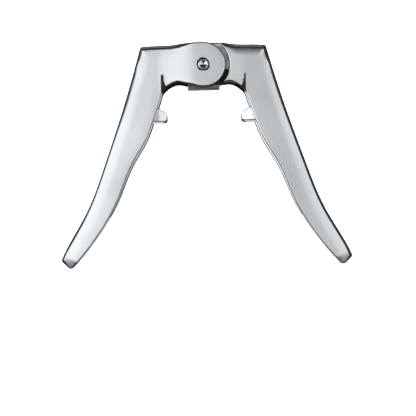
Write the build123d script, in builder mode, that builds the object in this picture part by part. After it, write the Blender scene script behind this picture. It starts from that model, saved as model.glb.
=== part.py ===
"""Sparkling wine cork opener: two sprung cast levers on one hinge pin, with claws and a cork rest.

X runs along the opener's width, Y from front to rear, Z up, in millimetres. The origin is the
centre of the cork rest's flat underside. The levers are in their fully open, sprung position.
"""

import os
from math import cos, radians, sin, sqrt

from build123d import *

os.makedirs("parts", exist_ok=True)

# Hinge stack. Every *_Y is a distance from the centre plane.
HINGE_Z = 9.9  # height of the hinge axis above the cork rest's underside
FACE_Y = 12.5  # outer faces of both levers at the hinge
FORK_Y = 9.2  # inner faces of the left lever's outer cheeks
TONGUE_Y = 8.8  # outer faces of the right lever's inner cheeks
TONGUE_INNER_Y = 5.6  # inner faces of the right lever's inner cheeks
EAR_OUTER_Y = 5.3  # cork rest ears
EAR_INNER_Y = 3.9

PIN_R = 2.0
BORE_R = 2.05  # running fit on the pin
PIN_HEAD_R = 2.35
PIN_HEAD_T = 1.0
PIN_SPIGOT_R = 1.3
PIN_SPIGOT_L = 0.6
COUNTERBORE_R = 2.6
COUNTERBORE_DEPTH = 1.2
HEAD_PLAY = 0.05  # axial play under the pin's head and cap
HEAD_CHAMFER = 0.2
DIMPLE_R = 1.7  # conical dimple turned into the pin's head
DIMPLE_DEPTH = 0.6
CAP_DIMPLE_R = 1.1
CAP_DIMPLE_DEPTH = 0.3

KNUCKLE_R = 9.3  # round hinge ends of both levers
SHOULDER_R = 10.8  # round shoulder of each lever, clear of the other's hinge end
LINTEL_INNER_R = 6.3  # curved web over the right lever's hinge end
LINTEL_END_ANGLE = 120  # degrees from X, where that web ends
STOP_GAP_ANGLE = 1.5  # from there to the opening stop on the left lever
STOP_INNER_R = 6.4
BRIDGE_X = 14.0  # the right lever's inner and outer cheeks are one solid up to here

# Lever castings
WALL = 3.0
TOP_INNER_Z = 5.3  # underside of the top web, above the hinge axis
TAPER_START_Z = -25.0
MID_TAPER = (-54.0, 9.2)  # height and half depth half way down
TIP_TAPER = (-86.0, 6.4)
HOLLOW_END_Z = -62.0  # below this, the lever is solid down to its tip
BOSS_X = 24.0  # seat of the claw on the casting
BOSS_TOP_Z = -9.5
BOSS_BOTTOM_Z = -24.3
CROWN_RADIUS = 1.3  # rounding of the outer top corner
TIP_RADIUS = 1.6
RIM_RADIUS = 0.9  # rounding along the edges of the outer faces
BEYOND = 90.0  # longer than a lever, for shapes that are trimmed by others

# Claws and their screws
CLAW_HALF_DEPTH = 8.6
CLAW_ROOT_X = 18.4  # where the sloping back leaves the plate
CLAW_ROOT_Z = -18.0
CLAW_TOE_X = 16.8
CLAW_PLATE_X = 21.6
CLAW_TOP_Z = -9.7
CLAW_BOTTOM_Z = -23.7
LIP_R = 14.0  # hollow of the claw's lip, seen from above
NOSE_X = 14.9
SCREW_R = 1.25
SCREW_CLEARANCE_R = 1.4
SCREW_HEAD_R = 2.1
SCREW_HEAD_T = 1.5
SCREW_CHAMFER = 0.3
SCREW_LENGTH = 7.4
TAPPED_DEPTH = 5.4
OVERCUT = 1.0
SCREW_Y = 4.6
SCREW_Z = -12.6
HEX_SOCKET_R = 0.87  # corner radius of the hexagon socket
HEX_SOCKET_DEPTH = 0.9

# Torsion spring, its sleeve, and the thrust washers
WIRE_R = 0.55
COIL_R = 3.95
COIL_PITCH = 1.35
COIL_TURNS = 4
LEG_LENGTH = 12.5
LEG_LIFT = 3.2  # degrees, each leg rises to the web that it pushes
SLEEVE_R = 2.9
SLEEVE_HALF_LENGTH = 3.6
WASHER_R = 5.0
WASHER_T = 0.36

# Cork rest
FOOT_HALF_WIDTH = 6.65
FOOT_T = 2.1
EAR_R = 3.6

DIMPLE_ALIGN = (Align.CENTER, Align.CENTER, Align.MAX)

hinge_plane = Plane(origin=(0, 0, HINGE_Z), x_dir=(1, 0, 0), z_dir=(0, -1, 0))
depth_plane = Plane(origin=(0, 0, HINGE_Z), x_dir=(0, 1, 0), z_dir=(1, 0, 0))

# Lever outline on the hinge plane: x outwards from the hinge axis, then height above it.
TOP_EDGE = [(0, KNUCKLE_R), (7.2, 9.0), (14.6, 8.2), (20.0, 8.1), (26.0, 7.8)]
OUTER_EDGE = [(26.0, 7.8), (28.5, -1.0), (34.65, -20.8), (41.7, -40.7), (49.9, -60.6), (60.2, -79.4)]
INNER_EDGE = [
    (56.0, -83.3),
    (45.2, -70.5),
    (36.3, -55.5),
    (29.9, -40.7),
    (24.7, -32.0),
    (19.0, -17.2),
    (17.2, -11.6),
]
ARCH = [(17.2, -11.6), (14.8, -8.9), (10.8, -7.2), (7.2, -7.8), (3.2, -8.73)]

# Inner face of the outer web, from the top web down to the end of the hollow, and the hollow's
# open side, which lies between the lever and the bottle.
HOLLOW_EDGE = [(23.0, TOP_INNER_Z), (25.4, -1.9), (31.5, -21.7), (38.6, -41.7), (46.6, HOLLOW_END_Z)]
HOLLOW_MOUTH = [(34.0, HOLLOW_END_Z), (0, -40.0), (0, TOP_INNER_Z)]


def at_side(side, points):
    return [(side * x, z) for x, z in points]


def depth_solid(half_depth, mid, tip):
    """Front-to-rear shape of a casting or its hollow, tapering from the hinge to the tip."""
    right = [(half_depth, TAPER_START_Z), (mid[1], mid[0]), (tip[1], tip[0])]
    left = [(-y, z) for y, z in right]
    with BuildPart() as shape:
        with BuildSketch(depth_plane):
            with BuildLine():
                Polyline(left[0], (-half_depth, SHOULDER_R), (half_depth, SHOULDER_R), right[0])
                Spline(right, tangents=[(0, -1), (-0.04, -1)])
                Line(right[-1], left[-1])
                Spline(left, tangents=[(0, -1), (0.04, -1)])
            make_face()
        extrude(amount=BEYOND, both=True)
    return shape.part


def hollow_solid(side):
    """Hollow behind the webs, open towards the bottle, in two pockets above and below the boss."""
    edge = at_side(side, HOLLOW_EDGE)
    with BuildPart() as hollow:
        with BuildSketch(hinge_plane):
            with BuildLine():
                Spline(edge, tangents=[(side * 0.28, -1), (side * 0.46, -1)])
                Polyline(edge[-1], *at_side(side, HOLLOW_MOUTH), edge[0])
            make_face()
        extrude(amount=FACE_Y, both=True)
        with BuildSketch(hinge_plane):
            with Locations((side * (BOSS_X + BEYOND / 2), (BOSS_TOP_Z + BOSS_BOTTOM_Z) / 2)):
                Rectangle(BEYOND, BOSS_TOP_Z - BOSS_BOTTOM_Z)
        extrude(amount=FACE_Y, both=True, mode=Mode.SUBTRACT)
        add(
            depth_solid(FORK_Y, (MID_TAPER[0], MID_TAPER[1] - WALL), (TIP_TAPER[0], TIP_TAPER[1] - WALL)),
            mode=Mode.INTERSECT,
        )
    return hollow.part


def casting(side):
    """Solid lever with its outline and taper. side is 1 for the right lever, -1 for the left."""
    outer = at_side(side, OUTER_EDGE)
    inner = at_side(side, INNER_EDGE)
    arch = at_side(side, ARCH)
    top = at_side(side, TOP_EDGE)
    with BuildPart() as body:
        with BuildSketch(hinge_plane):
            with BuildLine():
                Spline(top, tangents=[(side, 0), (side, -0.06)])
                Spline(outer, tangents=[(side * 0.28, -1), (side * 0.42, -1)])
                Line(outer[-1], inner[0])
                Spline(inner, tangents=[(-side, 1), (-side * 0.25, 1)])
                Spline(arch, tangents=[(-side * 0.42, 1), (-side, -0.37)])
                ThreePointArc(arch[-1], (-side * KNUCKLE_R, 0), top[0])
            make_face()
        extrude(amount=FACE_Y, both=True)
        crown_z = HINGE_Z + OUTER_EDGE[0][1]
        crown = body.edges().filter_by(Axis.Y).filter_by_position(Axis.Z, crown_z - 0.1, crown_z + 0.1)
        fillet(crown, CROWN_RADIUS)
        toe = body.edges().filter_by(Axis.Y).sort_by(Axis.Z)[:2]
        fillet(toe, TIP_RADIUS)
        add(depth_solid(FACE_Y, MID_TAPER, TIP_TAPER), mode=Mode.INTERSECT)
        rims = body.edges().filter_by(lambda edge: abs(edge.center().Y) > TIP_TAPER[1] / 2)
        seam_z = HINGE_Z + TAPER_START_Z
        taper_seams = rims.filter_by(Axis.X).filter_by_position(Axis.Z, seam_z - 0.1, seam_z + 0.1)
        fillet(rims - taper_seams, RIM_RADIUS)
    return body.part


def ring(outer_r, inner_r, from_y, to_y):
    """Ring or disc on the hinge axis, from one depth to a greater one."""
    with BuildPart() as shape:
        with BuildSketch(hinge_plane.offset(-from_y)):
            Circle(outer_r)
            if inner_r > 0:
                Circle(inner_r, mode=Mode.SUBTRACT)
        extrude(amount=from_y - to_y)
    return shape.part


def screw_holes(side, from_x, length, radius):
    """Holes for both screws of a claw, running outwards from from_x."""
    with BuildPart() as holes:
        with BuildSketch(depth_plane.offset(side * from_x)):
            with Locations((-SCREW_Y, SCREW_Z), (SCREW_Y, SCREW_Z)):
                Circle(radius)
        extrude(amount=side * length)
    return holes.part


def claw_shape(side):
    """Claw with a flat heel, a sloping back, a hollowed lip and a plate for its screws."""
    root = (CLAW_ROOT_X, CLAW_ROOT_Z)
    toe = (CLAW_TOE_X, CLAW_BOTTOM_Z)
    nose = [root, (15.7, -20.0), (NOSE_X, -21.6), (15.4, -23.1), toe]
    lip_centre_x = NOSE_X - sqrt(LIP_R**2 - CLAW_HALF_DEPTH**2)
    plate = [
        toe,
        (BOSS_X, CLAW_BOTTOM_Z),
        (BOSS_X, CLAW_TOP_Z),
        (CLAW_PLATE_X, CLAW_TOP_Z),
        (CLAW_PLATE_X, CLAW_ROOT_Z + 1.4),
        root,
    ]
    with BuildPart() as claw:
        with BuildSketch(hinge_plane):
            with BuildLine():
                Polyline(at_side(side, plate))
                Spline(at_side(side, nose))
            make_face()
        extrude(amount=CLAW_HALF_DEPTH, both=True)
        with BuildSketch(Plane.XY.offset(HINGE_Z + CLAW_BOTTOM_Z - OVERCUT)):
            with Locations((side * lip_centre_x, 0)):
                Circle(LIP_R)
        extrude(amount=CLAW_TOP_Z - CLAW_BOTTOM_Z, mode=Mode.SUBTRACT)
        plate_holes = screw_holes(side, CLAW_PLATE_X, BOSS_X - CLAW_PLATE_X, SCREW_CLEARANCE_R)
        add(plate_holes, mode=Mode.SUBTRACT)
    return claw.part


def claw_screw(side, y):
    """Socket screw through a claw into its boss, with its head on the bottle's side."""
    with BuildPart() as screw:
        with BuildSketch(depth_plane.offset(side * CLAW_PLATE_X)):
            with Locations((y, SCREW_Z)):
                Circle(SCREW_R)
        extrude(amount=side * SCREW_LENGTH)
        with BuildSketch(depth_plane.offset(side * CLAW_PLATE_X)):
            with Locations((y, SCREW_Z)):
                Circle(SCREW_HEAD_R)
        extrude(amount=-side * SCREW_HEAD_T)
        head_face = screw.faces().sort_by(Axis.X)[0 if side > 0 else -1]
        chamfer(head_face.edges(), SCREW_CHAMFER)
        with BuildSketch(depth_plane.offset(side * (CLAW_PLATE_X - SCREW_HEAD_T))):
            with Locations((y, SCREW_Z)):
                RegularPolygon(HEX_SOCKET_R, 6)
        extrude(amount=side * HEX_SOCKET_DEPTH, mode=Mode.SUBTRACT)
    return screw.part


def ray_end(angle):
    """Point well outside the hinge ends, at an angle from X."""
    return (2 * SHOULDER_R * cos(radians(angle)), 2 * SHOULDER_R * sin(radians(angle)))


# Room in the left lever for the right lever's hinge end. What stays of the web between its inner
# cheeks is the opening stop, which meets the end of the right lever's lintel.
stop_end = ray_end(LINTEL_END_ANGLE + STOP_GAP_ANGLE)
with BuildPart() as fork_room:
    add(ring(SHOULDER_R, 0, -FORK_Y, FORK_Y))
    with BuildSketch(hinge_plane):
        with BuildLine():
            Polyline(
                (TOP_INNER_Z * stop_end[0] / stop_end[1], TOP_INNER_Z),
                stop_end,
                (-2 * SHOULDER_R, stop_end[1]),
                (-2 * SHOULDER_R, TOP_INNER_Z),
                close=True,
            )
        make_face()
        Circle(STOP_INNER_R, mode=Mode.SUBTRACT)
    extrude(amount=EAR_OUTER_Y, both=True, mode=Mode.SUBTRACT)

# Left lever: two outer cheeks, counterbored for the ends of the pin.
with BuildPart() as left_lever:
    add(casting(-1))
    add(hollow_solid(-1), mode=Mode.SUBTRACT)
    add(fork_room.part, mode=Mode.SUBTRACT)
    add(ring(BORE_R, 0, -FACE_Y, FACE_Y), mode=Mode.SUBTRACT)
    add(ring(COUNTERBORE_R, 0, -FACE_Y, COUNTERBORE_DEPTH - FACE_Y), mode=Mode.SUBTRACT)
    add(ring(COUNTERBORE_R, 0, FACE_Y - COUNTERBORE_DEPTH, FACE_Y), mode=Mode.SUBTRACT)
    add(screw_holes(-1, BOSS_X, TAPPED_DEPTH, SCREW_R), mode=Mode.SUBTRACT)

# Space between the right lever's inner cheeks, for the spring, the sleeve and the cork rest.
lintel_end = ray_end(LINTEL_END_ANGLE)
with BuildPart() as tongue_slot:
    with BuildSketch(hinge_plane):
        Circle(LINTEL_INNER_R)
        with BuildLine():
            Polyline(
                (0, 0),
                lintel_end,
                (-2 * SHOULDER_R, lintel_end[1]),
                (-2 * SHOULDER_R, -2 * SHOULDER_R),
                (BRIDGE_X + OVERCUT, -2 * SHOULDER_R),
                (BRIDGE_X + OVERCUT, TOP_INNER_Z),
                (0, TOP_INNER_Z),
                close=True,
            )
        make_face()
    extrude(amount=TONGUE_INNER_Y, both=True)

with BuildPart() as right_hollow:
    add(hollow_solid(1))
    with BuildSketch(hinge_plane):
        with Locations((BRIDGE_X, 0)):
            Rectangle(BEYOND, BEYOND, align=(Align.MAX, Align.CENTER))
    extrude(amount=FACE_Y, both=True, mode=Mode.SUBTRACT)

# Right lever: a tongue of two inner cheeks, with a round shoulder beyond the other lever's ends.
with BuildPart() as right_lever:
    add(casting(1))
    add(right_hollow.part, mode=Mode.SUBTRACT)
    add(tongue_slot.part, mode=Mode.SUBTRACT)
    add(ring(SHOULDER_R, 0, -FACE_Y, -TONGUE_Y), mode=Mode.SUBTRACT)
    add(ring(SHOULDER_R, 0, TONGUE_Y, FACE_Y), mode=Mode.SUBTRACT)
    add(ring(BORE_R, 0, -FACE_Y, FACE_Y), mode=Mode.SUBTRACT)
    add(screw_holes(1, BOSS_X, TAPPED_DEPTH, SCREW_R), mode=Mode.SUBTRACT)

with BuildPart() as left_claw:
    add(claw_shape(-1))

with BuildPart() as right_claw:
    add(claw_shape(1))

with BuildPart() as left_claw_front_screw:
    add(claw_screw(-1, -SCREW_Y))

with BuildPart() as left_claw_rear_screw:
    add(claw_screw(-1, SCREW_Y))

with BuildPart() as right_claw_front_screw:
    add(claw_screw(1, -SCREW_Y))

with BuildPart() as right_claw_rear_screw:
    add(claw_screw(1, SCREW_Y))

# Hinge pin: a dimpled head in the front counterbore and a spigot for the rear cap.
SEAT_Y = FACE_Y - COUNTERBORE_DEPTH + HEAD_PLAY
with BuildPart() as hinge_pin:
    add(ring(PIN_R, 0, -SEAT_Y, SEAT_Y))
    add(ring(PIN_SPIGOT_R, 0, SEAT_Y, SEAT_Y + PIN_SPIGOT_L))
    add(ring(PIN_HEAD_R, 0, -SEAT_Y - PIN_HEAD_T, -SEAT_Y))
    head_edge = hinge_pin.faces().sort_by(Axis.Y)[0].edges()
    chamfer(head_edge, HEAD_CHAMFER)
    with Locations(hinge_plane.offset(SEAT_Y + PIN_HEAD_T)):
        Cone(0, DIMPLE_R, DIMPLE_DEPTH, align=DIMPLE_ALIGN, mode=Mode.SUBTRACT)

# Rear cap: presses onto the spigot and looks like the pin's head.
with BuildPart() as rear_cap:
    add(ring(PIN_HEAD_R, 0, SEAT_Y, SEAT_Y + PIN_HEAD_T))
    add(ring(PIN_SPIGOT_R, 0, SEAT_Y, SEAT_Y + PIN_SPIGOT_L), mode=Mode.SUBTRACT)
    cap_edge = rear_cap.faces().sort_by(Axis.Y)[-1].edges()
    chamfer(cap_edge, HEAD_CHAMFER)
    with Locations(-hinge_plane.offset(-SEAT_Y - PIN_HEAD_T)):
        Cone(0, CAP_DIMPLE_R, CAP_DIMPLE_DEPTH, align=DIMPLE_ALIGN, mode=Mode.SUBTRACT)

# Thrust washers: one between each pair of outer and inner cheeks.
WASHER_NEAR_Y = (FORK_Y + TONGUE_Y - WASHER_T) / 2
with BuildPart() as front_thrust_washer:
    add(ring(WASHER_R, BORE_R, -WASHER_NEAR_Y - WASHER_T, -WASHER_NEAR_Y))

with BuildPart() as rear_thrust_washer:
    add(ring(WASHER_R, BORE_R, WASHER_NEAR_Y, WASHER_NEAR_Y + WASHER_T))

with BuildPart() as spring_sleeve:
    add(ring(SLEEVE_R, BORE_R, -SLEEVE_HALF_LENGTH, SLEEVE_HALF_LENGTH))

# Torsion spring: a coil round the sleeve, with one leg under each lever's top web.
COIL_HALF_LENGTH = COIL_PITCH * COIL_TURNS / 2
LEG_DIRECTIONS = [(side * cos(radians(LEG_LIFT)), 0, sin(radians(LEG_LIFT))) for side in (-1, 1)]
with BuildPart() as torsion_spring:
    with BuildLine() as coil_path:
        Helix(
            COIL_PITCH,
            COIL_PITCH * COIL_TURNS,
            COIL_R,
            center=(0, -COIL_HALF_LENGTH, HINGE_Z),
            direction=(0, 1, 0),
        )
    with BuildSketch(Plane(origin=coil_path.line @ 0, z_dir=coil_path.line % 0)):
        Circle(WIRE_R)
    sweep(path=coil_path.line, is_frenet=True)
    for coil_end, direction in zip((coil_path.line @ 0, coil_path.line @ 1), LEG_DIRECTIONS):
        with Locations(coil_end):
            Sphere(WIRE_R)
        with BuildSketch(Plane(origin=coil_end, z_dir=direction)):
            Circle(WIRE_R)
        extrude(amount=LEG_LENGTH)

# Cork rest: a flat-bottomed saddle that hangs from the pin between the inner cheeks.
with BuildPart() as cork_rest:
    with BuildSketch(hinge_plane):
        Circle(EAR_R)
        with Locations((0, FOOT_T / 2 - HINGE_Z)):
            Rectangle(2 * FOOT_HALF_WIDTH, FOOT_T)
        make_hull()
    extrude(amount=EAR_OUTER_Y, both=True)
    with BuildSketch(hinge_plane):
        with Locations((0, FOOT_T - HINGE_Z)):
            Rectangle(BEYOND, BEYOND, align=(Align.CENTER, Align.MIN))
    extrude(amount=EAR_INNER_Y, both=True, mode=Mode.SUBTRACT)
    add(ring(BORE_R, 0, -EAR_OUTER_Y, EAR_OUTER_Y), mode=Mode.SUBTRACT)

nodes = {
    "left_lever": left_lever,
    "right_lever": right_lever,
    "left_claw": left_claw,
    "right_claw": right_claw,
    "left_claw_front_screw": left_claw_front_screw,
    "left_claw_rear_screw": left_claw_rear_screw,
    "right_claw_front_screw": right_claw_front_screw,
    "right_claw_rear_screw": right_claw_rear_screw,
    "hinge_pin": hinge_pin,
    "rear_cap": rear_cap,
    "front_thrust_washer": front_thrust_washer,
    "rear_thrust_washer": rear_thrust_washer,
    "spring_sleeve": spring_sleeve,
    "torsion_spring": torsion_spring,
    "cork_rest": cork_rest,
}
for label, node in nodes.items():
    node.part.label = label
    export_step(node.part, f"parts/{label}.step")
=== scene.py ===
"""Looks of the sparkling wine cork opener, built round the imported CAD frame.

Lengths are in millimetres and heights are measured from the hinge axis, unless a name or comment
says otherwise. MM turns them into Blender's metres.
"""

from math import acos, atan2, cos, pi, radians, sin, tan

import bpy
import numpy as np
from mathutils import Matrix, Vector


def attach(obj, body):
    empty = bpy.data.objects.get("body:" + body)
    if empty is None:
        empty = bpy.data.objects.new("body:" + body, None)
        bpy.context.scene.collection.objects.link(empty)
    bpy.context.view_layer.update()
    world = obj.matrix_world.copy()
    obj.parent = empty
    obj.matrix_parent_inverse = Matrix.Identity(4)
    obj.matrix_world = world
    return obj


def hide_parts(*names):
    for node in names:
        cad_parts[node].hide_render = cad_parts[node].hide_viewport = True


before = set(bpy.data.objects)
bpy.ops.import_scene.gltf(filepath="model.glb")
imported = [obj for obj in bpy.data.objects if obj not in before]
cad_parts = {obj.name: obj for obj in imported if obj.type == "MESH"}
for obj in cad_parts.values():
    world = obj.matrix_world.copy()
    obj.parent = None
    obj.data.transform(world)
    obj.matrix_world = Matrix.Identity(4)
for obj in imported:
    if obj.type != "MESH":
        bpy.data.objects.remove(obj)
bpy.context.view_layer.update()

MM = 0.001
HINGE_Z = 9.9  # height of the hinge axis in the object's frame
SIDES = ((-1, "left"), (1, "right"))

# Hinge stack, as distances from the centre plane.
FACE_Y = 12.5
FORK_Y = 9.2
TONGUE_Y = 8.8
SLOT_Y = 5.6
EAR_OUTER_Y = 5.3
EAR_INNER_Y = 3.9
BORE_R = 2.05
COUNTERBORE_R = 2.6
COUNTERBORE_FLOOR_Y = 11.3
KNUCKLE_R = 9.3
SHOULDER_R = 10.8
LINTEL_INNER_R = 6.3
LINTEL_END_ANGLE = 120
STOP_ANGLE = 121.5
STOP_INNER_R = 6.4
BRIDGE_X = 14.0
TOP_INNER_Z = 5.3
WALL = 3.0
BOSS_X = 24.0
BOSS_TOP_Z = -9.5
BOSS_BOTTOM_Z = -24.3
HOLLOW_END_Z = -62.0

# Groove in the tongue's sides, between two angles below outwards, in degrees.
GROOVE_INNER_R = 8.7
GROOVE_DEPTH = 1.8
GROOVE_ANGLES = (13, 44)

# Outline of a lever on the hinge plane: outwards from the hinge axis, then height above it.
# The top and outer edges run towards the tip, and the inner edge and arch run back from it.
LEVER_TOP_CORNER = (26.0, 7.8)
ARCH_CORNER = (17.2, -11.6)
TOP_EDGE = [(0, KNUCKLE_R), (7.2, 9.0), (14.6, 8.2), (20.0, 8.1), LEVER_TOP_CORNER]
OUTER_EDGE = [
    LEVER_TOP_CORNER,
    (28.5, -1.0),
    (34.65, -20.8),
    (41.7, -40.7),
    (49.9, -60.6),
    (60.85, -80.35),
]
INNER_EDGE = [
    (56.65, -84.25),
    (45.2, -70.5),
    (36.3, -55.5),
    (29.9, -40.7),
    (24.7, -32.0),
    (19.0, -17.2),
    ARCH_CORNER,
]
ARCH = [ARCH_CORNER, (14.8, -8.9), (10.8, -7.2), (7.2, -7.8), (3.2, -8.73)]
HOLLOW_EDGE = [(23.0, TOP_INNER_Z), (25.4, -1.9), (31.5, -21.7), (38.6, -41.7), (46.6, HOLLOW_END_Z)]
# Half the lever's depth against height.
HALF_DEPTHS = [(20, FACE_Y), (-10, FACE_Y), (-25, 12.45), (-54, 9.2), (-70, 7.7), (-86, 6.4)]

# Roundings and relief of the castings.
CORNER_ROUND = 1.5
INNER_RIM = 0.42  # radius of the rim along the hinge end, the arch and the inner edge
OUTER_RIM = 1.65
TOP_RIM = 1.95
OUTER_CROWN = 0.38  # how far the faces fall towards an edge, and how far from the edge that starts
OUTER_CROWN_REACH = 5.5
TOP_CROWNS = {-1: 0.2, 1: 0.55}  # by side: the left lever is flatter along its top
TOP_CROWN_REACH = 5.5
INNER_CROWN = 0.05
INNER_CROWN_REACH = 4.0
TIP_FALL = 0.95
TIP_FALL_REACH = 5.5
HINGE_SWELL = 0.66  # how far the faces stand proud round the hinge
SWELL_START_X = 3.0
SWELL_END_X = 19.5
SIDE_CROWN = 0.15  # draft of the edges: how far they fall in from the centre plane to the faces
POCKET_ROUND = 0.9
LIP_ROUND = 1.0
SOFT_EDGE = 0.3
SHARP_EDGE = 0.1

# Claws and the screws that hold them.
CLAW_UNDERSIDE_Z = -23.7
CLAW_PLATE_TOP_Z = -9.7
CLAW_PLATE_X = 21.6
CLAW_HALF_WIDTH = 8.6
CLAW_NARROWING = 0.6  # of each half, towards the nose
CLAW_ARCH = 0.55
LIP_CUT_R = 14.0
LIP_CUT_X = 3.85
LIP_CUT_TOP_Z = -16.5
SCREW_Y = 4.6
SCREW_Z = -12.6
SCREW_HEAD_R = 2.1
SCREW_HEAD_HEIGHT = 1.5
SCREW_SHANK_R = 1.25
SCREW_SOCKET_HALF = 0.75
SCREW_SOCKET_DEPTH = 0.9

# Pin, its cap, and the cork rest that hangs on it.
PIN_R = 2.0
PIN_HEAD_R = 2.35
PIN_HEAD_UNDERSIDE_Y = 11.34
SPIGOT_R = 1.3
REST_HALF_LENGTH = 6.65
REST_FOOT_TOP_Z = 2.1 - HINGE_Z
REST_EAR_R = 3.6

# Spring.
WIRE_R = 0.55
LEG_WIRE_R = 0.56
COIL_R = 3.95
COIL_START_Y = -2.7
COIL_PITCH = 1.35
COIL_TURNS = 4
LEG_OVERLAP = 0.11  # turns of the coil that each leg repeats
LEG_LENGTH = 12.5
LEG_LIFT = 3.2  # degrees

# Spacing of the grids that shapes are read on, and of the tables of distances.
LEVER_STEP = 0.42
SMALL_STEP = 0.2
SCREW_STEP = 0.14
TABLE_STEP = 0.2
FINE_TABLE_STEP = 0.1
REACH = 7.0  # distances to outlines are only told apart up to here

# Studio, in metres and degrees.
FLOOR_Z = -0.315
FLOOR_R = 2.2
COVE_R = 0.8
WALL_TOP = 3.0


def smoothstep(t):
    """Eases from 0 to 1 as t goes from 0 to 1, and stays level outside that."""
    t = np.clip(t, 0, 1)
    return t * t * (3 - 2 * t)


def ramp(value, start, end):
    """Eases from 0 at start to 1 at end. end may be the lower of the two."""
    return smoothstep((value - start) / (end - start))


def smooth_curve(points, start_way, end_way, spacing=0.25):
    """Points of the clamped cubic spline through points, with end tangents along the two ways."""
    p = np.array(points, float)
    chord = np.linalg.norm(np.diff(p, axis=0), axis=1)
    n = len(p)
    known = np.zeros_like(p)
    known[0] = np.array(start_way) / np.linalg.norm(start_way)
    known[-1] = np.array(end_way) / np.linalg.norm(end_way)
    matrix = np.eye(n)
    for i in range(1, n - 1):
        a, b = chord[i - 1], chord[i]
        matrix[i, i - 1 : i + 2] = (b, 2 * (a + b), a)
        known[i] = 3 * (b * (p[i] - p[i - 1]) / a + a * (p[i + 1] - p[i]) / b)
    slopes = np.linalg.solve(matrix, known)
    out = []
    for i, h in enumerate(chord):
        t = np.linspace(0, 1, int(np.ceil(h / spacing)), endpoint=False)[:, None]
        out.append(
            (2 * t**3 - 3 * t**2 + 1) * p[i]
            + (t**3 - 2 * t**2 + t) * h * slopes[i]
            + (3 * t**2 - 2 * t**3) * p[i + 1]
            + (t**3 - t**2) * h * slopes[i + 1]
        )
    return np.concatenate(out + [p[-1:]])


def arc(radius, start_angle, end_angle, spacing=0.15):
    """Points of an arc round the hinge axis, between angles in degrees from outwards."""
    count = int(abs(radians(end_angle - start_angle)) * radius / spacing) + 2
    angles = np.radians(np.linspace(start_angle, end_angle, count))
    return radius * np.stack([np.cos(angles), np.sin(angles)], 1)


def rounded_joint(before, after, radius, steps=12):
    """Joins two lines of points that meet at a corner, with an arc in place of the corner."""
    corner = before[-1]
    into = (before[-1] - before[-2]) / np.linalg.norm(before[-1] - before[-2])
    away = (after[1] - after[0]) / np.linalg.norm(after[1] - after[0])
    turn = acos(into @ away)
    trim = radius * tan(turn / 2)
    before = before[np.linalg.norm(before - corner, axis=1) > trim]
    after = after[np.linalg.norm(after - corner, axis=1) > trim]
    t = np.linspace(0, 1, steps)[:, None]
    weights = [(1 - t) ** 2, 2 * cos(turn / 2) * t * (1 - t), t**2]
    corners = [corner - trim * into, corner, corner + trim * away]
    bend = sum(w * c for w, c in zip(weights, corners)) / sum(weights)
    return np.concatenate([before, bend, after])


class PlaneDistance:
    """Distance to a line of points on the hinge plane, tabled on a grid and read between.

    A closed line gives signed distances, negative inside.
    """

    def __init__(self, line, closed=True, step=TABLE_STEP):
        self.step = step
        self.low = line.min(0) - REACH
        size = np.ceil((line.max(0) + REACH - self.low) / step).astype(int) + 2
        xs = self.low[0] + step * np.arange(size[0])
        zs = self.low[1] + step * np.arange(size[1])
        nearest = np.full(size, REACH**2)
        inside = np.zeros(size, bool)
        ends = np.roll(line, -1, axis=0) if closed else line[1:]
        for a, b in zip(line, ends):
            run = b - a
            first = np.floor((np.minimum(a, b) - REACH - self.low) / step).astype(int)
            last = np.ceil((np.maximum(a, b) + REACH - self.low) / step).astype(int) + 1
            first = np.maximum(first, 0)
            px = xs[first[0] : last[0], None] - a[0]
            pz = zs[None, first[1] : last[1]] - a[1]
            t = np.clip((px * run[0] + pz * run[1]) / max(run @ run, 1e-12), 0, 1)
            apart = (px - t * run[0]) ** 2 + (pz - t * run[1]) ** 2
            window = nearest[first[0] : last[0], first[1] : last[1]]
            np.minimum(window, apart, out=window)
            if closed:
                for row in np.nonzero((zs >= min(a[1], b[1])) & (zs < max(a[1], b[1])))[0]:
                    crossing = a[0] + run[0] * (zs[row] - a[1]) / run[1]
                    inside[xs < crossing, row] ^= True
        self.table = np.where(inside, -1, 1) * np.sqrt(nearest)

    def __call__(self, x, z):
        u = np.clip((x - self.low[0]) / self.step, 0, self.table.shape[0] - 1.001)
        v = np.clip((z - self.low[1]) / self.step, 0, self.table.shape[1] - 1.001)
        i = u.astype(int)
        j = v.astype(int)
        u = u - i
        v = v - j
        t = self.table
        near = t[i, j] * (1 - u) + t[i + 1, j] * u
        far = t[i, j + 1] * (1 - u) + t[i + 1, j + 1] * u
        return near * (1 - v) + far * v


def round_max(a, b, radius):
    """Distance to the part inside both a and b, with a rounded edge where they meet."""
    u = np.maximum(a + radius, 0)
    v = np.maximum(b + radius, 0)
    return np.minimum(-radius, np.maximum(a, b)) + np.sqrt(u * u + v * v)


def cut(solid, tool, radius):
    """Distance to solid with tool taken out of it, and a rounded edge round the cut."""
    return round_max(solid, -tool, radius)


def from_axis(x, z):
    """Distance from the hinge axis, or from any axis that the two distances are square to."""
    return np.sqrt(x * x + z * z)


def gradient(distance, points, reach):
    """Slope of a distance function at points, one row for each."""
    x, y, z = points.T
    slopes = [
        distance(x + reach, y, z) - distance(x - reach, y, z),
        distance(x, y + reach, z) - distance(x, y - reach, z),
        distance(x, y, z + reach) - distance(x, y, z - reach),
    ]
    return np.stack(slopes, 1) / (2 * reach)


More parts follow.
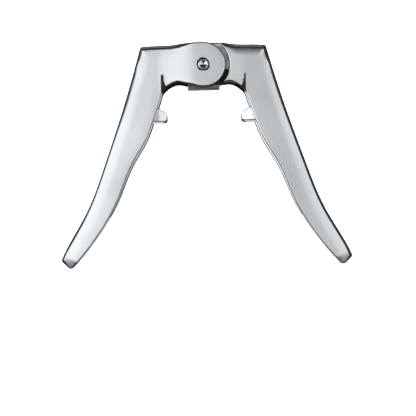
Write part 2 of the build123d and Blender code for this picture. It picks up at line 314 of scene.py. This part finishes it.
def crossing_points(values, low, step):
    """For each cell that the surface crosses, a point near the surface. Also the cells' numbers."""
    inside = values < 0
    size = np.array(inside.shape) - 1
    tally = np.zeros(size, int)
    for i, j, k in np.ndindex(2, 2, 2):
        tally += inside[i : size[0] + i, j : size[1] + j, k : size[2] + k]
    cells = np.argwhere((tally > 0) & (tally < 8))
    index = -np.ones(size, int)
    index[tuple(cells.T)] = np.arange(len(cells))
    total = np.zeros((len(cells), 3))
    hits = np.zeros(len(cells))
    for axis in range(3):
        along = np.eye(3, dtype=int)[axis]
        side_a, side_b = np.delete(np.eye(3, dtype=int), axis, 0)
        for p, q in np.ndindex(2, 2):
            start = cells + p * side_a + q * side_b
            a = values[tuple(start.T)]
            b = values[tuple((start + along).T)]
            crosses = (a < 0) != (b < 0)
            t = np.where(crosses, a / np.where(crosses, a - b, 1), 0)
            total += np.where(crosses[:, None], start + t[:, None] * along, 0)
            hits += crosses
    return low + step * total / hits[:, None], index


def crossing_quads(values, index):
    """A quad round each grid edge that the surface crosses, wound to face outwards."""
    inside = values < 0
    size = np.array(index.shape)
    quads = []
    for axis in range(3):
        u = np.eye(3, dtype=int)[(axis + 1) % 3]
        v = np.eye(3, dtype=int)[(axis + 2) % 3]
        here = np.take(inside, range(size[axis]), axis)
        beyond = np.take(inside, range(1, size[axis] + 1), axis)
        edges = np.argwhere(here != beyond)
        edges = edges[(edges @ u > 0) & (edges @ v > 0)]
        edges = edges[(edges @ u < size @ u) & (edges @ v < size @ v)]
        corners = (edges, edges - u, edges - u - v, edges - v)
        ring = np.stack([index[tuple(c.T)] for c in corners], 1)
        outward = here[tuple(edges.T)]
        quads.append(np.where(outward[:, None], ring, ring[:, ::-1]))
    return np.concatenate(quads)


def put_in_scene(thing):
    bpy.context.scene.collection.objects.link(thing)


def new_piece(name, points, faces, normals=None):
    """Blender object from points in millimetres about the hinge axis, and faces of 4 points."""
    mesh = bpy.data.meshes.new(name)
    mesh.vertices.add(len(points))
    placed = (np.asarray(points) + (0, 0, HINGE_Z)) * MM
    mesh.vertices.foreach_set("co", placed.astype(np.float32).ravel())
    mesh.loops.add(4 * len(faces))
    mesh.loops.foreach_set("vertex_index", np.asarray(faces, np.int32).ravel())
    mesh.polygons.add(len(faces))
    mesh.polygons.foreach_set("loop_start", np.arange(0, 4 * len(faces), 4, dtype=np.int32))
    mesh.polygons.foreach_set("use_smooth", np.ones(len(faces), bool))
    mesh.update(calc_edges=True)
    if normals is None:
        mesh.set_sharp_from_angle(angle=radians(24))
    else:
        mesh.normals_split_custom_set_from_vertices(normals.tolist())
    piece = bpy.data.objects.new(name, mesh)
    put_in_scene(piece)
    return piece


def surface_piece(name, distance, low, high, step):
    """Piece whose surface is where distance(x, y, z) is zero, and its points."""
    low = np.array(low, float)
    axes = [np.arange(a, b + step, step) for a, b in zip(low, high)]
    values = distance(*np.meshgrid(*axes, indexing="ij"))
    points, index = crossing_points(values, low, step)
    quads = crossing_quads(values, index)
    for _ in range(4):
        slopes = gradient(distance, points, 0.02)
        steepness = np.maximum((slopes**2).sum(1), 0.25)
        move = np.clip(-distance(*points.T) / steepness, -0.5 * step, 0.5 * step)
        points = points + slopes * move[:, None]
    normals = gradient(distance, points, 0.3 * step)
    normals /= np.linalg.norm(normals, axis=1)[:, None]
    return new_piece(name, points, quads, normals), points


def lever_lines():
    """The lever's outline, and its stretches along the outside, the inside and the tip."""
    top = smooth_curve(TOP_EDGE, (1, 0), (1, -0.06))
    outer = smooth_curve(OUTER_EDGE, (0.28, -1), (0.42, -1))
    inner = smooth_curve(INNER_EDGE, (-1, 1), (-0.25, 1))
    arch = smooth_curve(ARCH, (-0.42, 1), (-1, -0.37))
    tip = np.linspace(outer[-1], inner[0], 12)
    outside = rounded_joint(top, outer, CORNER_ROUND)
    arch_end = np.degrees(atan2(arch[-1][1], arch[-1][0]))
    hinge_end = arc(KNUCKLE_R, arch_end, -270)
    inside = np.concatenate([inner, arch[1:], hinge_end[1:-1]])
    outline = rounded_joint(outside, tip, CORNER_ROUND)
    outline = rounded_joint(outline, inside, CORNER_ROUND)
    return outline, outside, inside, tip


# Distances to those lines, worked out once for both levers.
outline, outside, inside, tip = lever_lines()
OUTLINE = PlaneDistance(outline)
OUTSIDE = PlaneDistance(outside, closed=False)
INSIDE = PlaneDistance(inside, closed=False)
TIP = PlaneDistance(tip, closed=False)
hollow_edge = smooth_curve(HOLLOW_EDGE, (0.28, -1), (0.46, -1))
HOLLOW = PlaneDistance(np.concatenate([[(0, -40), (0, TOP_INNER_Z)], hollow_edge, [(34, HOLLOW_END_Z)]]))
depth_curve = smooth_curve(HALF_DEPTHS, (-1, 0), (-1, -0.16))


def half_depth(z):
    """Distance from the centre plane to a lever's face, before crowns and swell."""
    return np.interp(z, depth_curve[::-1, 0], depth_curve[::-1, 1])


def fall(distance, amount, reach):
    """Drop of a crowned face near an edge, and none further from it than reach."""
    return amount * np.clip(1 - distance / reach, 0, 1) ** 2


def casting_distance(x, y, z, top_crown):
    """Solid lever with crowned faces and a rim that widens from its inside to its outside.

    x runs outwards from the hinge on either side, here and in the other functions of the levers.
    """
    flat = OUTLINE(x, z)
    to_outside = OUTSIDE(x, z)
    to_inside = INSIDE(x, z)
    towards_outside = smoothstep(to_inside / (to_inside + to_outside + 1e-6))
    towards_outside = towards_outside * ramp(x, 3, 11)
    widest = OUTER_RIM + (TOP_RIM - OUTER_RIM) * ramp(z, 1, 6)
    rim = INNER_RIM + (widest - INNER_RIM) * towards_outside
    relief = fall(to_outside, OUTER_CROWN, OUTER_CROWN_REACH) * ramp(z, 6, -4)
    relief += fall(to_outside, top_crown, TOP_CROWN_REACH) * ramp(z, 0, 5) * ramp(x, 5, 14)
    relief += fall(to_inside, INNER_CROWN, INNER_CROWN_REACH)
    relief += fall(TIP(x, z), TIP_FALL, TIP_FALL_REACH)
    relief += HINGE_SWELL * ramp(x, SWELL_START_X, SWELL_END_X)
    depth = half_depth(z)
    side = flat + SIDE_CROWN * (y / depth) ** 2
    face = np.abs(y) - depth + relief
    return round_max(side, face, rim)


def hollow_distance(x, y, z):
    """Pocket inside a lever, all but the boss that the claw is screwed to."""
    boss_middle = (BOSS_TOP_Z + BOSS_BOTTOM_Z) / 2
    boss_half = (BOSS_TOP_Z - BOSS_BOTTOM_Z) / 2
    boss = np.maximum(BOSS_X - x, np.abs(z - boss_middle) - boss_half)
    flat = cut(HOLLOW(x, z), boss, 0.4)
    inner = np.minimum(half_depth(z) - WALL, FORK_Y)
    return round_max(flat, np.abs(y) - inner, POCKET_ROUND)


def left_lever_distance(x, y, z):
    """Lever with two outer cheeks, a stop between them and counterbored holes."""
    solid = cut(casting_distance(x, y, z, TOP_CROWNS[-1]), hollow_distance(x, y, z), LIP_ROUND)
    radius = from_axis(x, z)
    way = radians(180 - STOP_ANGLE)
    stop = np.maximum(z * cos(way) - x * sin(way), TOP_INNER_Z - z)
    stop = np.maximum(stop, np.abs(y) - EAR_OUTER_Y)
    stop = np.maximum(stop, STOP_INNER_R - radius)
    fork = np.maximum(radius - SHOULDER_R, np.abs(y) - FORK_Y)
    solid = cut(solid, np.maximum(fork, -stop), SOFT_EDGE)
    solid = cut(solid, radius - BORE_R, SHARP_EDGE)
    counterbore = np.maximum(radius - COUNTERBORE_R, COUNTERBORE_FLOOR_Y - np.abs(y))
    return cut(solid, counterbore, SHARP_EDGE)


def shadow_groove(x, y, z):
    """Groove sunk in the tongue's sides below the hinge, between the levers' round ends."""
    radius = from_axis(x, z)
    start, end = np.radians(GROOVE_ANGLES)
    sector = np.maximum(z * cos(start) + x * sin(start), -z * cos(end) - x * sin(end))
    ring = np.maximum(GROOVE_INNER_R - radius, radius - SHOULDER_R)
    return np.maximum(np.maximum(sector, ring), TONGUE_Y - GROOVE_DEPTH - np.abs(y))


def right_lever_distance(x, y, z):
    """Lever with a tongue of two inner cheeks and round shoulders on both sides of it."""
    pocket = round_max(hollow_distance(x, y, z), BRIDGE_X - x, POCKET_ROUND)
    solid = cut(casting_distance(x, y, z, TOP_CROWNS[1]), pocket, LIP_ROUND)
    radius = from_axis(x, z)
    way = radians(LINTEL_END_ANGLE)
    beyond_lintel = np.maximum(x * sin(way) - z * cos(way), x)
    under_web = np.maximum(np.maximum(z - TOP_INNER_Z, x - BRIDGE_X - 1), -x)
    slot = np.minimum(np.minimum(under_web, np.maximum(x, z)), beyond_lintel)
    slot = np.minimum(slot, radius - LINTEL_INNER_R)
    solid = cut(solid, round_max(slot, np.abs(y) - SLOT_Y, 0.5), SOFT_EDGE)
    solid = cut(solid, np.maximum(radius - SHOULDER_R, TONGUE_Y - np.abs(y)), 0.5)
    solid = cut(solid, shadow_groove(x, y, z), 0.15)
    return cut(solid, radius - BORE_R, SHARP_EDGE)


def mirrored_box(side, low, high):
    """Corners of a box whose X range is given outwards from the hinge."""
    xs = sorted((side * low[0], side * high[0]))
    return (xs[0], *low[1:]), (xs[1], *high[1:])


def lever_piece(name, distance, side):
    """A lever. Its recess attribute is 1 on unpolished faces, and a second attribute is 1 where shade is
    painted.
    """
    margin = 1
    low = (-KNUCKLE_R - margin, -FACE_Y - margin, -85.6)
    high = (62.2, FACE_Y + margin, KNUCKLE_R + margin)
    low, high = mirrored_box(side, low, high)
    piece, points = surface_piece(name, lambda x, y, z: distance(side * x, y, z), low, high, LEVER_STEP)
    x, y, z = points.T
    depth_inside = -casting_distance(side * x, y, z, TOP_CROWNS[side])
    in_from_face = half_depth(z) - np.abs(y)
    joint_face = (from_axis(x, z) < SHOULDER_R + 0.2) & (np.abs(y) > TONGUE_Y - 0.3)
    # Painted shade: under the arch and round the counterbore floor the faces are painted near black.
    under_arch = (side * x < 17.6) & (z < -4) & (z > -14) & (in_from_face > 0.6)
    counterbore = (from_axis(x, z) < COUNTERBORE_R + 0.1) & (in_from_face > 0.15)
    # Painted shade: faces deep inside the casting are painted darker, to near black, but not those of
    # the joint.
    painted_shade = np.where(joint_face, 0, ramp(depth_inside, 1.9, 2.9))
    painted_shade = np.where(under_arch | counterbore, 1, painted_shade)
    recess = np.maximum(ramp(depth_inside, 0.9, 1.7), painted_shade)
    for attribute, values in (("recess", recess), ("painted_shade", painted_shade)):
        data = piece.data.attributes.new(attribute, "FLOAT", "POINT").data
        data.foreach_set("value", values.astype(np.float32))
    return piece


def claw_line():
    """Side view of a claw: a blunt nose, then the plate that lies against the boss."""
    nose = [(18.4, -18.0), (15.7, -20.0), (14.9, -21.6), (15.4, -23.1), (16.8, CLAW_UNDERSIDE_Z)]
    plate = [
        (BOSS_X, CLAW_UNDERSIDE_Z),
        (BOSS_X, CLAW_PLATE_TOP_Z),
        (CLAW_PLATE_X, CLAW_PLATE_TOP_Z),
        (CLAW_PLATE_X, -16.6),
    ]
    return np.concatenate([smooth_curve(nose, (-1, -0.6), (1, -0.1)), plate])


CLAW = PlaneDistance(claw_line(), step=FINE_TABLE_STEP)


def claw_distance(x, y, z):
    """Claw with a sloping back, a hollowed lip and a plate that is screwed to the casting."""
    half_width = CLAW_HALF_WIDTH - CLAW_NARROWING * np.clip((BOSS_X - x) / 9, 0, 1.2) ** 2
    arched = z - CLAW_ARCH * (y / CLAW_HALF_WIDTH) ** 2 * ramp(z, -17, -21)
    solid = round_max(CLAW(x, arched), np.abs(y) - half_width, 0.4)
    lip = np.maximum(from_axis(x - LIP_CUT_X, y) - LIP_CUT_R, z - LIP_CUT_TOP_Z)
    return cut(solid, lip, SOFT_EDGE)


def rest_line():
    """Side view of the cork rest: a foot, tapering up to round ears on the pin."""
    corner = (REST_HALF_LENGTH, REST_FOOT_TOP_Z)
    touch = np.degrees(atan2(corner[1], corner[0]) + acos(REST_EAR_R / np.hypot(*corner)))
    foot = [
        (-REST_HALF_LENGTH, REST_FOOT_TOP_Z),
        (-REST_HALF_LENGTH, -HINGE_Z),
        (REST_HALF_LENGTH, -HINGE_Z),
        corner,
    ]
    return np.concatenate([arc(REST_EAR_R, touch, 180 - touch), foot])


REST = PlaneDistance(rest_line(), step=FINE_TABLE_STEP)


def rest_distance(x, y, z):
    """Cork rest: two ears over a foot, with a channel between them for the spring."""
    solid = round_max(REST(x, z), np.abs(y) - EAR_OUTER_Y, 0.35)
    channel = round_max(REST_FOOT_TOP_Z - z, np.abs(y) - EAR_INNER_Y, 0.5)
    solid = cut(solid, channel, 0.25)
    return cut(solid, from_axis(x, z) - BORE_R, SHARP_EDGE)


def screw_distance(x, y, z):
    """Socket screw along X: the head ends at 0 and the shank runs on to 7.4."""
    radius = from_axis(y, z)
    half_head = SCREW_HEAD_HEIGHT / 2
    head = round_max(radius - SCREW_HEAD_R, np.abs(x + half_head) - half_head, 0.25)
    shank = round_max(radius - SCREW_SHANK_R, np.abs(x - 3.4) - 4.0, 0.2)
    hexagon = np.abs(y)
    for angle in (radians(60), radians(120)):
        hexagon = np.maximum(hexagon, np.abs(y * cos(angle) + z * sin(angle)))
    socket_floor = SCREW_SOCKET_DEPTH - SCREW_HEAD_HEIGHT
    socket = np.maximum(hexagon - SCREW_SOCKET_HALF, x - socket_floor)
    return cut(np.minimum(head, shank), socket, 0.06)


def ring_faces(rings, sides):
    """Quads between neighbouring rings, and round the two points that close the ends."""
    faces = []
    for ring in range(rings - 1):
        for s in range(sides):
            a = ring * sides + s
            b = ring * sides + (s + 1) % sides
            faces.append((a, b, b + sides, a + sides))
    last = (rings - 1) * sides
    first_point = rings * sides
    for s in range(0, sides, 2):
        t, u = (s + 1) % sides, (s + 2) % sides
        faces.append((first_point, u, t, s))
        faces.append((first_point + 1, last + s, last + t, last + u))
    return faces


def lathe_piece(name, profile, sides=96):
    """Turned piece: profile is a list of (radius, y) from the front of the axis to the rear."""
    angles = np.linspace(0, 2 * pi, sides, endpoint=False)
    points = [(r * cos(a), y, -r * sin(a)) for r, y in profile[1:-1] for a in angles]
    points += [(0, profile[0][1], 0), (0, profile[-1][1], 0)]
    return new_piece(name, points, ring_faces(len(profile) - 2, sides))


def wire_piece(name, path, radius, sides=20):
    """Round wire along a path, with rounded ends."""
    path = np.array(path, float)
    ways = np.gradient(path, axis=0)
    ways /= np.linalg.norm(ways, axis=1)[:, None]
    across = np.cross(ways, (0, 1, 0))
    across /= np.linalg.norm(across, axis=1)[:, None]
    upward = np.cross(ways, across)
    last = len(path) - 1
    stops = [(0, 0.6, -0.8), (0, 0.9, -0.44)]
    stops += [(i, 1, 0) for i in range(len(path))]
    stops += [(last, 0.9, 0.44), (last, 0.6, 0.8)]
    points = []
    for i, wide, ahead in stops:
        for angle in np.linspace(0, 2 * pi, sides, endpoint=False):
            out = cos(angle) * across[i] + sin(angle) * upward[i]
            points.append(path[i] + radius * (ahead * ways[i] + wide * out))
    points += [path[0] - radius * ways[0], path[-1] + radius * ways[-1]]
    return new_piece(name, points, ring_faces(len(stops), sides))


class Shading:
    """A new material's node tree, with short ways to add and link nodes."""

    def __init__(self, name, colour, roughness, metallic=1.0):
        self.material = bpy.data.materials.new(name)
        self.material.use_nodes = True
        self.tree = self.material.node_tree
        self.shader = self.tree.nodes["Principled BSDF"]
        self.shader.inputs["Base Color"].default_value = (*colour, 1)
        self.shader.inputs["Roughness"].default_value = roughness
        self.shader.inputs["Metallic"].default_value = metallic
        self.place = self.tree.nodes.new("ShaderNodeTexCoord").outputs["Object"]

    def put(self, socket, value):
        """Links a node's output to a socket, or sets the socket to a plain value."""
        if isinstance(value, bpy.types.NodeSocket):
            self.tree.links.new(value, socket)
        elif isinstance(value, tuple):
            socket.default_value = (*value, 1)
        else:
            socket.default_value = value

    def noise(self, size_mm, detail=2.0):
        """Noise whose bumps are about size_mm across."""
        node = self.tree.nodes.new("ShaderNodeTexNoise")
        self.put(node.inputs["Scale"], 1 / (size_mm * MM))
        self.put(node.inputs["Detail"], detail)
        self.put(node.inputs["Vector"], self.place)
        return node.outputs["Fac"]

    def attribute(self, name):
        node = self.tree.nodes.new("ShaderNodeAttribute")
        node.attribute_name = name
        return node.outputs["Fac"]

    def spread(self, value, low, high):
        """Values from low to high where a noise or a share runs from its usual low to its high."""
        node = self.tree.nodes.new("ShaderNodeMapRange")
        self.put(node.inputs["Value"], value)
        self.put(node.inputs["From Min"], 0.3)
        self.put(node.inputs["From Max"], 0.7)
        self.put(node.inputs["To Min"], low)
        self.put(node.inputs["To Max"], high)
        return node.outputs["Result"]

    def mix(self, share, first, second):
        """Blend of two numbers."""
        node = self.tree.nodes.new("ShaderNodeMix")
        self.put(node.inputs[0], share)
        self.put(node.inputs[2], first)
        self.put(node.inputs[3], second)
        return node.outputs[0]

    def mix_colours(self, share, first, second):
        node = self.tree.nodes.new("ShaderNodeMix")
        node.data_type = "RGBA"
        self.put(node.inputs[0], share)
        self.put(node.inputs[6], first)
        self.put(node.inputs[7], second)
        return node.outputs[2]

    def bump(self, height, distance_mm, before=None):
        """Relief of distance_mm for a height of 1, on top of the bump before."""
        node = self.tree.nodes.new("ShaderNodeBump")
        self.put(node.inputs["Distance"], distance_mm * MM)
        self.put(node.inputs["Height"], height)
        if before is not None:
            self.put(node.inputs["Normal"], before)
        return node.outputs["Normal"]

    def finish(self, roughness=None, normal=None, colour=None):
        for socket, source in (("Roughness", roughness), ("Normal", normal), ("Base Color", colour)):
            if source is not None:
                self.put(self.shader.inputs[socket], source)
        return self.material


def satin_chrome():
    """Satin plate outside, duller, rougher as-cast metal where the recess attribute is 1, painted shade
    deep inside.
    """
    plate_colour = (0.775, 0.805, 0.83)
    s = Shading("satin_chrome", plate_colour, 0.21)
    recess = s.attribute("recess")
    flecks = s.spread(s.noise(0.7, 3.0), 0.0, 1.0)
    dull = s.mix_colours(flecks, (0.26, 0.30, 0.31), (0.74, 0.80, 0.80))
    # Painted shade: where the lever marks it, the as-cast colour goes to near black.
    dull = s.mix_colours(s.attribute("painted_shade"), dull, (0.045, 0.048, 0.046))
    colour = s.mix_colours(recess, plate_colour, dull)
    plated = s.spread(s.noise(9.0), 0.20, 0.23)
    waves = s.bump(s.noise(7.0, 0.0), 0.01)
    grain = s.bump(s.noise(0.12), 0.0001, waves)
    cast_height = s.mix(recess, 0.0, s.noise(0.45, 4.0))
    return s.finish(s.mix(recess, plated, 0.5), s.bump(cast_height, 0.05, grain), colour)


def polished_chrome():
    """Bright, smooth plate with faint waves."""
    s = Shading("polished_chrome", (0.88, 0.885, 0.89), 0.08)
    return s.finish(s.spread(s.noise(3.0, 3.0), 0.06, 0.12), s.bump(s.noise(2.5, 1.0), 0.003))


def turned_steel():
    """Steel with the fine rings that turning leaves about the hinge axis."""
    s = Shading("turned_steel", (0.74, 0.73, 0.72), 0.16)
    centred = s.tree.nodes.new("ShaderNodeMapping")
    centred.inputs["Location"].default_value = (0, 0, -HINGE_Z * MM)
    s.put(centred.inputs["Vector"], s.place)
    rings = s.tree.nodes.new("ShaderNodeTexWave")
    rings.wave_type = "RINGS"
    rings.rings_direction = "Y"
    s.put(rings.inputs["Scale"], 2000.0)
    s.put(rings.inputs["Distortion"], 0.6)
    s.put(rings.inputs["Vector"], centred.outputs["Vector"])
    return s.finish(s.spread(s.noise(0.8, 3.0), 0.12, 0.2), s.bump(rings.outputs["Fac"], 0.001))


def plain_steel(name, colour, roughness):
    """Steel with a fine grain, for wire and fasteners."""
    s = Shading(name, colour, roughness)
    varied = s.spread(s.noise(1.2, 3.0), roughness - 0.06, roughness + 0.08)
    return s.finish(varied, s.bump(s.noise(0.15), 0.002))


def dull_plate():
    """Dark, slightly patchy plate of the cork rest."""
    s = Shading("dull_plate", (0.20, 0.235, 0.24), 0.36)
    patches = s.spread(s.noise(0.8, 3.0), 0.0, 1.0)
    colour = s.mix_colours(patches, (0.14, 0.165, 0.17), (0.26, 0.30, 0.30))
    return s.finish(s.spread(s.noise(1.5, 3.0), 0.3, 0.45), s.bump(s.noise(0.4, 3.0), 0.01), colour)


def matte_plastic():
    """Black plastic of the spring's sleeve."""
    s = Shading("matte_plastic", (0.05, 0.05, 0.052), 0.55, metallic=0.0)
    return s.finish(s.spread(s.noise(0.6, 3.0), 0.48, 0.62), s.bump(s.noise(0.2, 3.0), 0.004))


def add_piece(piece, body, slot_name, material, *nodes):
    """Gives a piece its material, the body it rides on, and the nodes it stands for."""
    piece.data.materials.append(material)
    if nodes:
        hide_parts(*nodes)
    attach(piece, body)


def claws_and_screws(polished, steel):
    """A claw on each lever and the two screws that hold it."""
    for side, name in SIDES:

        def claw(x, y, z):
            return claw_distance(side * x, y, z)

        low, high = mirrored_box(side, (14.2, -9.2, -24.3), (24.8, 9.2, -9.1))
        piece, _ = surface_piece(f"{name}_claw_forging", claw, low, high, SMALL_STEP)
        add_piece(piece, f"{name}_arm", "polished_metal", polished, f"{name}_claw")
        for place, middle in (("front", -SCREW_Y), ("rear", SCREW_Y)):

            def screw(x, y, z):
                return screw_distance(side * x - CLAW_PLATE_X, y - middle, z - SCREW_Z)

            low, high = mirrored_box(side, (19.9, middle - 2.4, -15.0), (29.3, middle + 2.4, -10.2))
            piece, _ = surface_piece(f"{name}_claw_{place}_socket_screw", screw, low, high, SCREW_STEP)
            add_piece(piece, f"{name}_arm", "fastener_steel", steel, f"{name}_claw_{place}_screw")


def hinge_pieces(turned, dull):
    """Pin with a dimpled head in front and a spigot behind, the cap on that, and the cork rest."""
    under_head = PIN_HEAD_UNDERSIDE_Y
    dimple = [(0, -11.73), (0.05, -11.74), (0.8, -12.02), (1.65, -12.33), (1.72, -12.35)]
    head = [(1.82, -12.34), (2.05, -12.26), (2.25, -12.1), (PIN_HEAD_R, -11.9), (PIN_HEAD_R, -11.4)]
    shank = [(PIN_R, -under_head), (PIN_R, under_head), (1.98, 11.35)]
    spigot = [(SPIGOT_R, 11.36), (SPIGOT_R, 11.9), (1.27, 11.95), (0, 11.95)]
    pin = lathe_piece("hinge_pin_turned", dimple + head + shank + spigot)
    add_piece(pin, "hinge_core", "turned_steel", turned, "hinge_pin")
    socket = [(0, 11.96), (SPIGOT_R, 11.96), (1.31, 11.36), (2.3, 11.35)]
    rim = [(PIN_HEAD_R, 11.4), (PIN_HEAD_R, 12.12), (2.33, 12.18), (2.15, 12.35)]
    cap_dimple = [(1.15, 12.35), (1.08, 12.34), (0.05, 12.06), (0, 12.05)]
    cap = lathe_piece("rear_cap_turned", socket + rim + cap_dimple)
    add_piece(cap, "hinge_core", "turned_steel", turned, "rear_cap")
    low, high = (-7.2, -5.9, -10.4), (7.2, 5.9, 4.2)
    rest, _ = surface_piece("cork_rest_saddle", rest_distance, low, high, SMALL_STEP)
    add_piece(rest, "hinge_core", "rest_metal", dull, "cork_rest")


def coil_point(turn):
    """Point of the spring's coil. It starts on top at the front and winds to the rear."""
    angle = 2 * pi * turn
    return (COIL_R * sin(angle), COIL_START_Y + COIL_PITCH * turn, COIL_R * cos(angle))


def spring_pieces(wire):
    """The coil stays on the pin. Each leg follows its lever, with a stretch of coil of its own."""
    turns = [coil_point(t) for t in np.linspace(0, COIL_TURNS, 260)]
    coil = wire_piece("spring_coil", turns, WIRE_R)
    add_piece(coil, "hinge_core", "spring_steel", wire, "torsion_spring")
    lift = radians(LEG_LIFT)
    for side, name in SIDES:
        turn = 0 if side < 0 else COIL_TURNS
        root = np.array(coil_point(turn))
        way = np.array((side * cos(lift), 0, sin(lift)))
        bend = [coil_point(t) for t in np.linspace(turn - side * LEG_OVERLAP, turn, 14)]
        straight = [root + way * length for length in np.linspace(0.3, LEG_LENGTH, 12)]
        leg = wire_piece(f"spring_leg_{name}", bend + straight, LEG_WIRE_R)
        add_piece(leg, f"{name}_arm", "spring_steel", wire)


def stage():
    """Plain pale floor at the level of a bottle's base, rising into a pale wall all round."""
    profile = [(0.5, 0.0), (1.2, 0.0)]
    profile += [(FLOOR_R + COVE_R * sin(a), COVE_R * (1 - cos(a))) for a in np.linspace(0, pi / 2, 10)]
    profile += [(FLOOR_R + COVE_R, WALL_TOP)]
    sides = 96
    points = [(0, 0, FLOOR_Z)]
    for r, h in profile:
        for s in range(sides):
            angle = 2 * pi * s / sides
            points.append((r * cos(angle), r * sin(angle), FLOOR_Z + h))
    faces = [(0, 1 + s, 1 + (s + 1) % sides) for s in range(sides)]
    for ring in range(len(profile) - 1):
        for s in range(sides):
            a = 1 + ring * sides + s
            b = 1 + ring * sides + (s + 1) % sides
            faces.append((a, a + sides, b + sides, b))
    mesh = bpy.data.meshes.new("studio_floor")
    mesh.from_pydata(points, [], faces)
    mesh.polygons.foreach_set("use_smooth", np.ones(len(faces), bool))
    floor = bpy.data.objects.new("studio_floor", mesh)
    put_in_scene(floor)
    pale = Shading("studio_floor", (0.9, 0.9, 0.9), 0.9, metallic=0.0)
    pale.put(pale.shader.inputs["Specular IOR Level"], 0.0)
    pale.put(pale.shader.inputs["Emission Color"], (1.0, 1.0, 1.0))
    pale.put(pale.shader.inputs["Emission Strength"], 0.95)
    mesh.materials.append(pale.finish())
    floor.visible_glossy = False


def soft_box(name, azimuths, elevations, brightness, distance=1.6):
    """Soft box that covers a range of directions, in degrees, seen from the opener.

    Azimuth 0 is the camera's side and 90 is to the right.
    """
    azimuth = radians(sum(azimuths) / 2)
    elevation = radians(sum(elevations) / 2)
    way = Vector((sin(azimuth) * cos(elevation), -cos(azimuth) * cos(elevation), sin(elevation)))
    data = bpy.data.lights.new(name, "AREA")
    data.shape = "RECTANGLE"
    data.size = 2 * distance * tan(radians(azimuths[1] - azimuths[0]) / 2)
    data.size_y = 2 * distance * tan(radians(elevations[1] - elevations[0]) / 2)
    data.energy = brightness * pi * data.size * data.size_y
    lamp = bpy.data.objects.new(name, data)
    lamp.location = distance * way
    lamp.rotation_euler = (-way).to_track_quat("-Z", "Y").to_euler()
    put_in_scene(lamp)


def studio():
    """Big soft box left of the camera, dimmer ones to its right, and weak ones all round."""
    world = bpy.context.scene.world or bpy.data.worlds.new("studio")
    bpy.context.scene.world = world
    world.use_nodes = True
    background = world.node_tree.nodes["Background"]
    background.inputs["Color"].default_value = (0.03, 0.031, 0.033, 1)
    row = (
        ("box_left", (-5.5, -0.8), 0.95),
        ("box_left_middle", (-36, -5.5), 1.25),
        ("box_left_far", (-68, -36), 1.2),
        ("box_centre", (-0.8, 6.5), 0.43),
        ("box_right", (6.5, 42), 0.92),
    )
    for name, azimuths, brightness in row:
        soft_box(name, azimuths, (-22, 14), brightness)
    for name, azimuths in (("left", (-56, -22)), ("right", (22, 56))):
        soft_box(f"box_low_{name}", azimuths, (-34, -22), 0.35)
        soft_box(f"box_lower_{name}", azimuths, (-60, -34), 0.12)
    soft_box("box_back", (150, 210), (-24, 9), 0.6)
    soft_box("box_side_left", (-100, -80), (-20, 20), 0.15)
    soft_box("box_side_right", (80, 100), (-20, 20), 0.04)
    soft_box("box_above", (-14, 14), (76, 104), 0.22)
    bpy.context.scene.view_settings.view_transform = "Standard"


def camera():
    """Level camera in front, rolled a little so that the opener's right side stands higher."""
    data = bpy.data.cameras.new("camera")
    data.sensor_width = 36
    data.lens = 147.3
    data.clip_start = 0.05
    view = bpy.data.objects.new("camera", data)
    view.location = (0.0008, -0.7125, -0.0494)
    view.rotation_euler = (pi / 2, radians(1.1), 0)
    put_in_scene(view)
    bpy.context.scene.camera = view


camera()
studio()
stage()

chrome = satin_chrome()
fastener = plain_steel("fastener_steel", (0.55, 0.55, 0.57), 0.28)
left_lever = lever_piece("left_lever_casting", left_lever_distance, -1)
right_lever = lever_piece("right_lever_casting", right_lever_distance, 1)
add_piece(left_lever, "left_arm", "satin_metal", chrome, "left_lever")
add_piece(right_lever, "right_arm", "satin_metal", chrome, "right_lever")
claws_and_screws(polished_chrome(), fastener)
hinge_pieces(turned_steel(), dull_plate())
spring_pieces(plain_steel("spring_steel", (0.45, 0.45, 0.47), 0.3))
carried_over = {
    "front_thrust_washer": fastener,
    "rear_thrust_washer": fastener,
    "spring_sleeve": matte_plastic(),
}
for node, material in carried_over.items():
    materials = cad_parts[node].data.materials
    materials.clear()
    materials.append(material)
